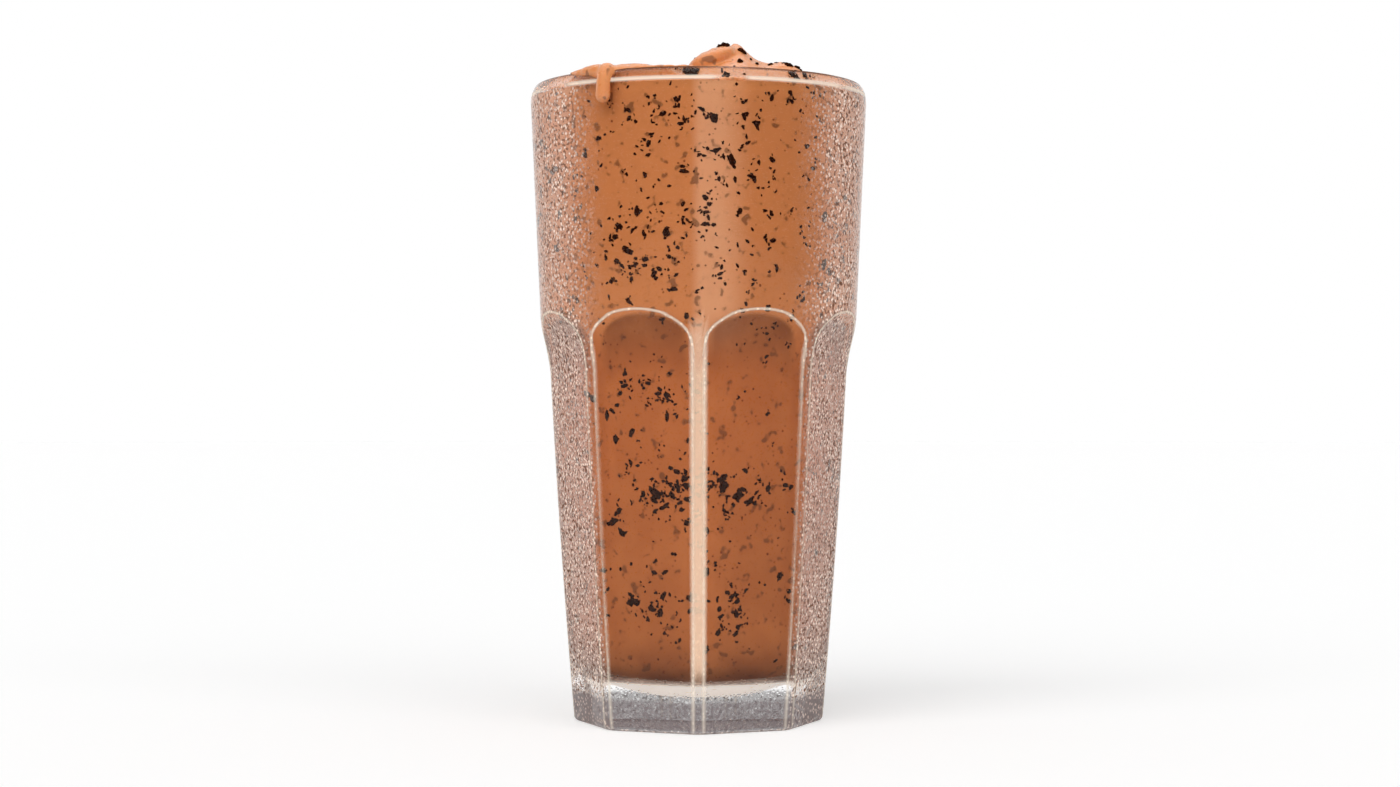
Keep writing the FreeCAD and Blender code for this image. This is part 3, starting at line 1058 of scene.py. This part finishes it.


# painted light and shade among the drink's colours: a paler streak down the upper front, darker towards
# the floor and under the arches; the deepest brown also tints random streaks
SHAKE_UPPER = colour(203, 128, 76)
SHAKE_FRONT_PAINTED_HIGHLIGHT = colour(226, 166, 124)
SHAKE_LOWER = colour(187, 107, 57)
SHAKE_LOW = colour(178, 103, 56)
SHAKE_DEEP = colour(118, 66, 40)
SHAKE_SHADED = colour(98, 44, 16)
SHAKE_UNDERSIDE_PAINTED_REFLECTION = colour(244, 236, 226)
UNDERSIDE_FROM = 12.5 * MM      # the painted pale reflection on the drink's underside starts below here
UNDERSIDE_FULL = 11.0 * MM
UNDERSIDE_PAINTED_GLOW = (0.48, 0.44, 0.40)    # painted glow on the drink's underside, for light that the solid foot carries up to it
SHAKE_OPEN = colour(222, 140, 82)
SHAKE_OPEN_PALE = colour(232, 160, 108)
CRUMB_DARK = colour(36, 15, 8)
CRUMB_GRAIN = colour(84, 44, 27)
DUST = colour(104, 44, 22)
SUNK_CRUMB = colour(92, 56, 36)


def shake_clouds(recipe, place, base, pale, dark):
    """Soft clouds, fine dust and crumbs showing from inside, over a base colour."""
    clouds = recipe.noise(place, 90.0, 3.0)
    streaks = recipe.noise(place, 420.0, 2.0)
    base = recipe.blend(recipe.smooth(clouds, 0.42, 0.72) * 0.16, base, pale)
    base = recipe.blend(recipe.smooth(streaks, 0.5, 0.8) * 0.2, base, dark)
    blurred = recipe.smooth(recipe.noise(place, 420.0, 1.0), 0.63, 0.72)
    base = recipe.blend(blurred * 0.6, base, SUNK_CRUMB)
    specks = recipe.cells(place, 700.0)
    chosen = recipe.smooth(recipe.noise(place, 260.0, 1.0), 0.5, 0.62)
    dots = recipe.smooth(specks, 0.24, 0.12) * chosen
    return recipe.blend(dots * 0.8, base, DUST)


def shake_colour(recipe, place):
    """Milkshake brown against the glass, darker behind the panels, with a painted highlight streak down
    the upper front, painted shade towards the floor and under the arches, and a painted pale reflection
    on the underside.
    """
    x, y, z = recipe.axes(place)
    # painted highlight: a paler streak down the upper front of the drink
    streak = recipe.smooth(x, -0.0022, 0.0008) * recipe.smooth(x, 0.0135, 0.0045)
    streak = streak * recipe.smooth(y, 0.0, -0.02)
    upper = recipe.blend(streak * 0.75, SHAKE_UPPER, SHAKE_FRONT_PAINTED_HIGHLIGHT)
    base = recipe.blend(recipe.smooth(z, 0.104, 0.090), upper, SHAKE_LOWER)
    # painted shade: darker towards the floor
    base = recipe.blend(recipe.smooth(z, 0.070, 0.030), base, SHAKE_LOW)
    base = recipe.blend(recipe.smooth(z, 0.026, 0.011), base, SHAKE_DEEP)
    # painted shade under the arches
    base = recipe.blend(recipe.mark("under_arch") * 0.75, base, SHAKE_SHADED)
    # painted reflection: the underside of the drink turns pale
    base = recipe.blend(recipe.smooth(z, UNDERSIDE_FROM, UNDERSIDE_FULL), base, SHAKE_UNDERSIDE_PAINTED_REFLECTION)
    return shake_clouds(recipe, place, base, SHAKE_OPEN, SHAKE_DEEP)


def shake_in_glass():
    """Milkshake wetting the glass: no gloss of its own, but a mirror at a low angle."""
    recipe = new_recipe("shake_in_glass")
    place = recipe.place()
    grain = recipe.noise(place, 900.0, 3.0)
    # painted glow: the drink's underside gives off light of its own
    underside = recipe.smooth(recipe.axes(place)[2], UNDERSIDE_FROM, UNDERSIDE_FULL)
    drink = recipe.node("BsdfPrincipled", values={
        "Base Color": shake_colour(recipe, place),
        "Roughness": 0.55 + 0.1 * grain,
        "Specular IOR Level": 0.05,
        "Emission Color": recipe.blend(underside, BLACK, UNDERSIDE_PAINTED_GLOW),
        "Emission Strength": 1.0,
    })
    at_low_angle = recipe.smooth(recipe.slant(), 0.5, 0.72) * 0.9 * (1.0 - underside)
    return recipe.finish(recipe.mixed(at_low_angle, drink, recipe.gloss(MIRROR, 0.03)))


def shake_top():
    """The open top: wet, creamy and fine grained."""
    recipe = new_recipe("shake_top")
    place = recipe.place()
    grain = recipe.noise(place, 1500.0, 3.0, 0.6)
    lumps = recipe.noise(place, 380.0, 3.0)
    height = grain * 0.35 + lumps
    drink = recipe.node("BsdfPrincipled", values={
        "Base Color": shake_clouds(recipe, place, SHAKE_OPEN, SHAKE_OPEN_PALE, SHAKE_UPPER),
        "Roughness": 0.24 + 0.3 * recipe.smooth(lumps, 0.35, 0.7),
        "Subsurface Weight": 0.12,
        "Subsurface Scale": 0.002,
        "Coat Weight": 0.25,
        "Coat Roughness": 0.12,
        "Normal": recipe.bump(height, 0.00022, 0.8),
    })
    return recipe.finish(drink)


def crumb_finish():
    """Dark chocolate biscuit, dull, with paler broken grains."""
    recipe = new_recipe("dark_biscuit")
    place = recipe.place()
    grain = recipe.noise(place, 2600.0, 4.0, 0.65)
    tint = recipe.blend(recipe.smooth(grain, 0.46, 0.72), CRUMB_DARK, CRUMB_GRAIN)
    crumb = recipe.node("BsdfPrincipled", values={
        "Base Color": tint,
        "Roughness": 0.6 + 0.3 * grain,
        "Specular IOR Level": 0.0,
        "Normal": recipe.bump(grain, 0.0003, 0.9),
    })
    return recipe.finish(crumb)


def bare_glass(recipe, place):
    """The clear glass itself, with the fine relief that the drops give it."""
    wavy = recipe.noise(place, 55.0, 2.0)
    coarse = recipe.cells(place, 1250.0)
    return recipe.node("BsdfPrincipled", values={
        "Base Color": (1.0, 1.0, 1.0, 1.0),
        "Roughness": 0.03,
        "IOR": 1.5,
        "Specular Tint": (*WET_GLOSS, 1.0),
        "Transmission Weight": 1.0,
        "Normal": recipe.bump(recipe.smooth(coarse, 0.45, 0.08) + wavy * 0.4, 0.00005, 0.5),
    })


def misted_glass():
    """Clear pressed glass under a fine mist of water drops, with painted sheen on the mist, painted
    highlights on the pressed edges and round the lip, and painted shade on the drops, the lip's crest
    and the solid foot.
    """
    recipe = new_recipe("misted_glass")
    place = recipe.place()
    z = recipe.axes(place)[2]
    slant = recipe.slant()
    bright = recipe.smooth(recipe.cells(place, 980.0), 0.46, 0.22)
    dark = recipe.smooth(recipe.noise(place, 1250.0, 0.0), 0.44, 0.34)
    around = recipe.noise(place, 70.0, 1.0)
    shade = recipe.dull(DROP_SHADE)
    painted_highlight = recipe.dull(CREAM_PAINTED_HIGHLIGHT)

    # painted sheen: the mist is a flat pale colour that shows where the wall is seen at a slant
    mist = recipe.smooth(slant, 0.16, 0.5) * (1.0 - 0.45 * recipe.smooth(slant, 0.68, 0.92))
    mist = mist * recipe.smooth(z, MIST_TOP, MIST_FULL)
    mist = mist * (0.75 + 0.5 * recipe.smooth(recipe.noise(place, 60.0, 2.0), 0.35, 0.65))
    finish = recipe.mixed(mist * (0.2 + 0.75 * bright), bare_glass(recipe, place), recipe.dull(MIST_PAINTED_SHEEN))
    # painted shade: dark dots among the mist
    finish = recipe.mixed(mist * dark * 0.7, finish, shade)

    # painted shade: the clear solid foot is greyed with a flat colour
    painted_foot_shade = recipe.smooth(z, BASE_FROM, BASE_FULL) * (0.62 - 0.3 * bright + 0.25 * dark)
    finish = recipe.mixed(painted_foot_shade, finish, recipe.dull(BASE_PAINTED_SHADE))

    # the faces of the pillars mirror the table and the room, most of all straight on
    face = recipe.mark("pillar_face") * recipe.smooth(slant, 0.16, 0.02)
    face = face * (1.0 - 0.35 * recipe.smooth(z, 0.086, 0.091)) * (0.78 + 0.12 * bright)
    finish = recipe.mixed(face, finish, recipe.gloss(PILLAR_GLOSS, 0.25))

    # painted highlight: a cream line along the pressed edges of the panels and arches
    edge = recipe.smooth(recipe.mark("painted_edge_highlight"), 0.0, 0.8) * (0.6 + 0.3 * bright)
    finish = recipe.mixed(edge, finish, painted_highlight)
    # painted highlight: a broken cream line round the lip
    line = recipe.smooth(recipe.mark("painted_lip_highlight"), 0.0, 1.0) * recipe.smooth(around, 0.3, 0.5)
    finish = recipe.mixed(line * 0.9, finish, painted_highlight)
    # painted shade: a dark line along the crest of the lip
    crest = recipe.mark("painted_rim_shade") * (0.45 + 0.45 * recipe.smooth(around, 0.35, 0.6))
    finish = recipe.mixed(crest, finish, shade)

    lamps_through = recipe.node("BsdfTransparent")
    return recipe.finish(recipe.mixed(recipe.ray("Is Shadow Ray"), finish, lamps_through))


def table_finish():
    """Plain white table that still takes the soft shadow of the glass."""
    recipe = new_recipe("white_table")
    shown = recipe.ray("Is Camera Ray").at_least(recipe.ray("Is Glossy Ray"))
    shown = shown.at_least(recipe.ray("Is Transmission Ray"))
    return recipe.finish(recipe.node("BsdfPrincipled", values={
        "Base Color": (*TABLE_WHITE, 1.0),
        "Roughness": 0.9,
        "Specular IOR Level": 0.0,
        "Emission Color": recipe.blend(shown, BLACK, TABLE_LIFT),
        "Emission Strength": 1.0,
    }))


# ---- building the object ----

def make_glass():
    glass = make_object("panelled_glass", glass_mesh(), misted_glass())
    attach(glass, "root")
    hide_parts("glass")


def make_milkshake():
    """Returns the shaped top as well, for the crumbs to lie on."""
    top = drink_top_mesh()
    points = [vertex.co for vertex in top.vertices]
    tree = BVHTree.FromPolygons(points, [list(face.vertices) for face in top.polygons])
    mesh = joined_mesh("milkshake_skin", drink_body_mesh(), top)
    shake = make_object("chocolate_shake", mesh, shake_in_glass(), shake_top())
    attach(shake, "root")
    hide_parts("milkshake")
    return tree


def make_crumbs(top_tree):
    finish = crumb_finish()
    small, large = wall_crumb_meshes()
    on_top = top_crumbs_mesh(top_tree)
    for name, mesh in (("small_crumbs", small), ("large_crumbs", large), ("crumbs_on_top", on_top)):
        crumbs = make_object(name, mesh, finish)
        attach(crumbs, "root")


def make_table():
    work = bmesh.new()
    bmesh.ops.create_circle(work, cap_ends=True, segments=96, radius=6.0)
    mesh = bpy.data.meshes.new("table")
    work.to_mesh(mesh)
    work.free()
    table = make_object("table", mesh, table_finish())


# ---- light and camera ----

AMBIENT = 0.5           # what lights the object from all round
ROOM = 0.06             # the room in front, as mirrors show it
ROOM_THROUGH = 0.3      # the room in front, as it shows through glass
KEY_LEVEL = 1.3
FILL_LEVEL = 0.7
LAMP_SOFTNESS = 50.0    # degrees across


def make_world():
    """White for the eye, and behind the object for mirrors and glass; a studio in front."""
    world = bpy.data.worlds.new("studio")
    bpy.context.scene.world = world
    recipe = Recipe(world)
    x, y, z = recipe.axes(recipe.node("TexCoord", output="Generated"))
    sideways = x.sum("ABSOLUTE", x)
    strips = recipe.smooth(sideways, 0.72, 0.9) * recipe.smooth(y, -0.05, 0.3)
    front = recipe.smooth(x, -0.12, 0.0) * recipe.smooth(x, 0.5, 0.12)
    front = front * recipe.smooth(y, -0.93, -0.98)
    overhead = recipe.smooth(z, 0.72, 0.9)
    behind = recipe.smooth(y, 0.0, 0.25)
    mirrored = ROOM + (1.0 - ROOM) * behind + 0.76 * strips + 0.8 * front + 1.8 * overhead
    through_glass = ROOM_THROUGH + (1.0 - ROOM_THROUGH) * behind
    scattered = recipe.ray("Diffuse Depth").at_most(1.0)
    strength = AMBIENT + recipe.ray("Is Glossy Ray") * (mirrored - AMBIENT)
    strength = strength + recipe.ray("Is Transmission Ray") * (through_glass - strength)
    strength = strength + scattered * (AMBIENT - strength)
    strength = strength + recipe.ray("Is Camera Ray") * (1.0 - strength)
    shader = recipe.node("Background", values={"Color": (1.0, 1.0, 1.0, 1.0), "Strength": strength})
    recipe.finish(shader, "OutputWorld")


def sun_lamp(name, place, strength):
    """Soft even light from one side, at the same strength all over the table."""
    data = bpy.data.lights.new(name, "SUN")
    data.energy = strength
    data.angle = math.radians(LAMP_SOFTNESS)
    lamp = bpy.data.objects.new(name, data)
    bpy.context.scene.collection.objects.link(lamp)
    lamp.location = place
    lamp.rotation_euler = (-Vector(place)).to_track_quat("-Z", "Y").to_euler()
    lamp.visible_glossy = False


def make_lamps():
    sun_lamp("key", (-0.5, -0.8, 0.8), KEY_LEVEL)
    sun_lamp("fill", (0.6, -0.8, 0.45), FILL_LEVEL)


CAMERA_DISTANCE = 0.6573
CAMERA_HEIGHT = 0.0781
CAMERA_LENS = 66.86
CAMERA_SHIFT = (0.0011, 0.0125)


def make_camera():
    data = bpy.data.cameras.new("camera")
    data.lens = CAMERA_LENS
    data.sensor_width = 36.0
    data.shift_x, data.shift_y = CAMERA_SHIFT
    camera = bpy.data.objects.new("camera", data)
    bpy.context.scene.collection.objects.link(camera)
    camera.location = (0.0, -CAMERA_DISTANCE, CAMERA_HEIGHT)
    camera.rotation_euler = (math.radians(90.0), 0.0, 0.0)
    bpy.context.scene.camera = camera


make_glass()
make_crumbs(make_milkshake())
make_table()
make_world()
make_lamps()
make_camera()
bpy.context.scene.view_settings.view_transform = "Standard"
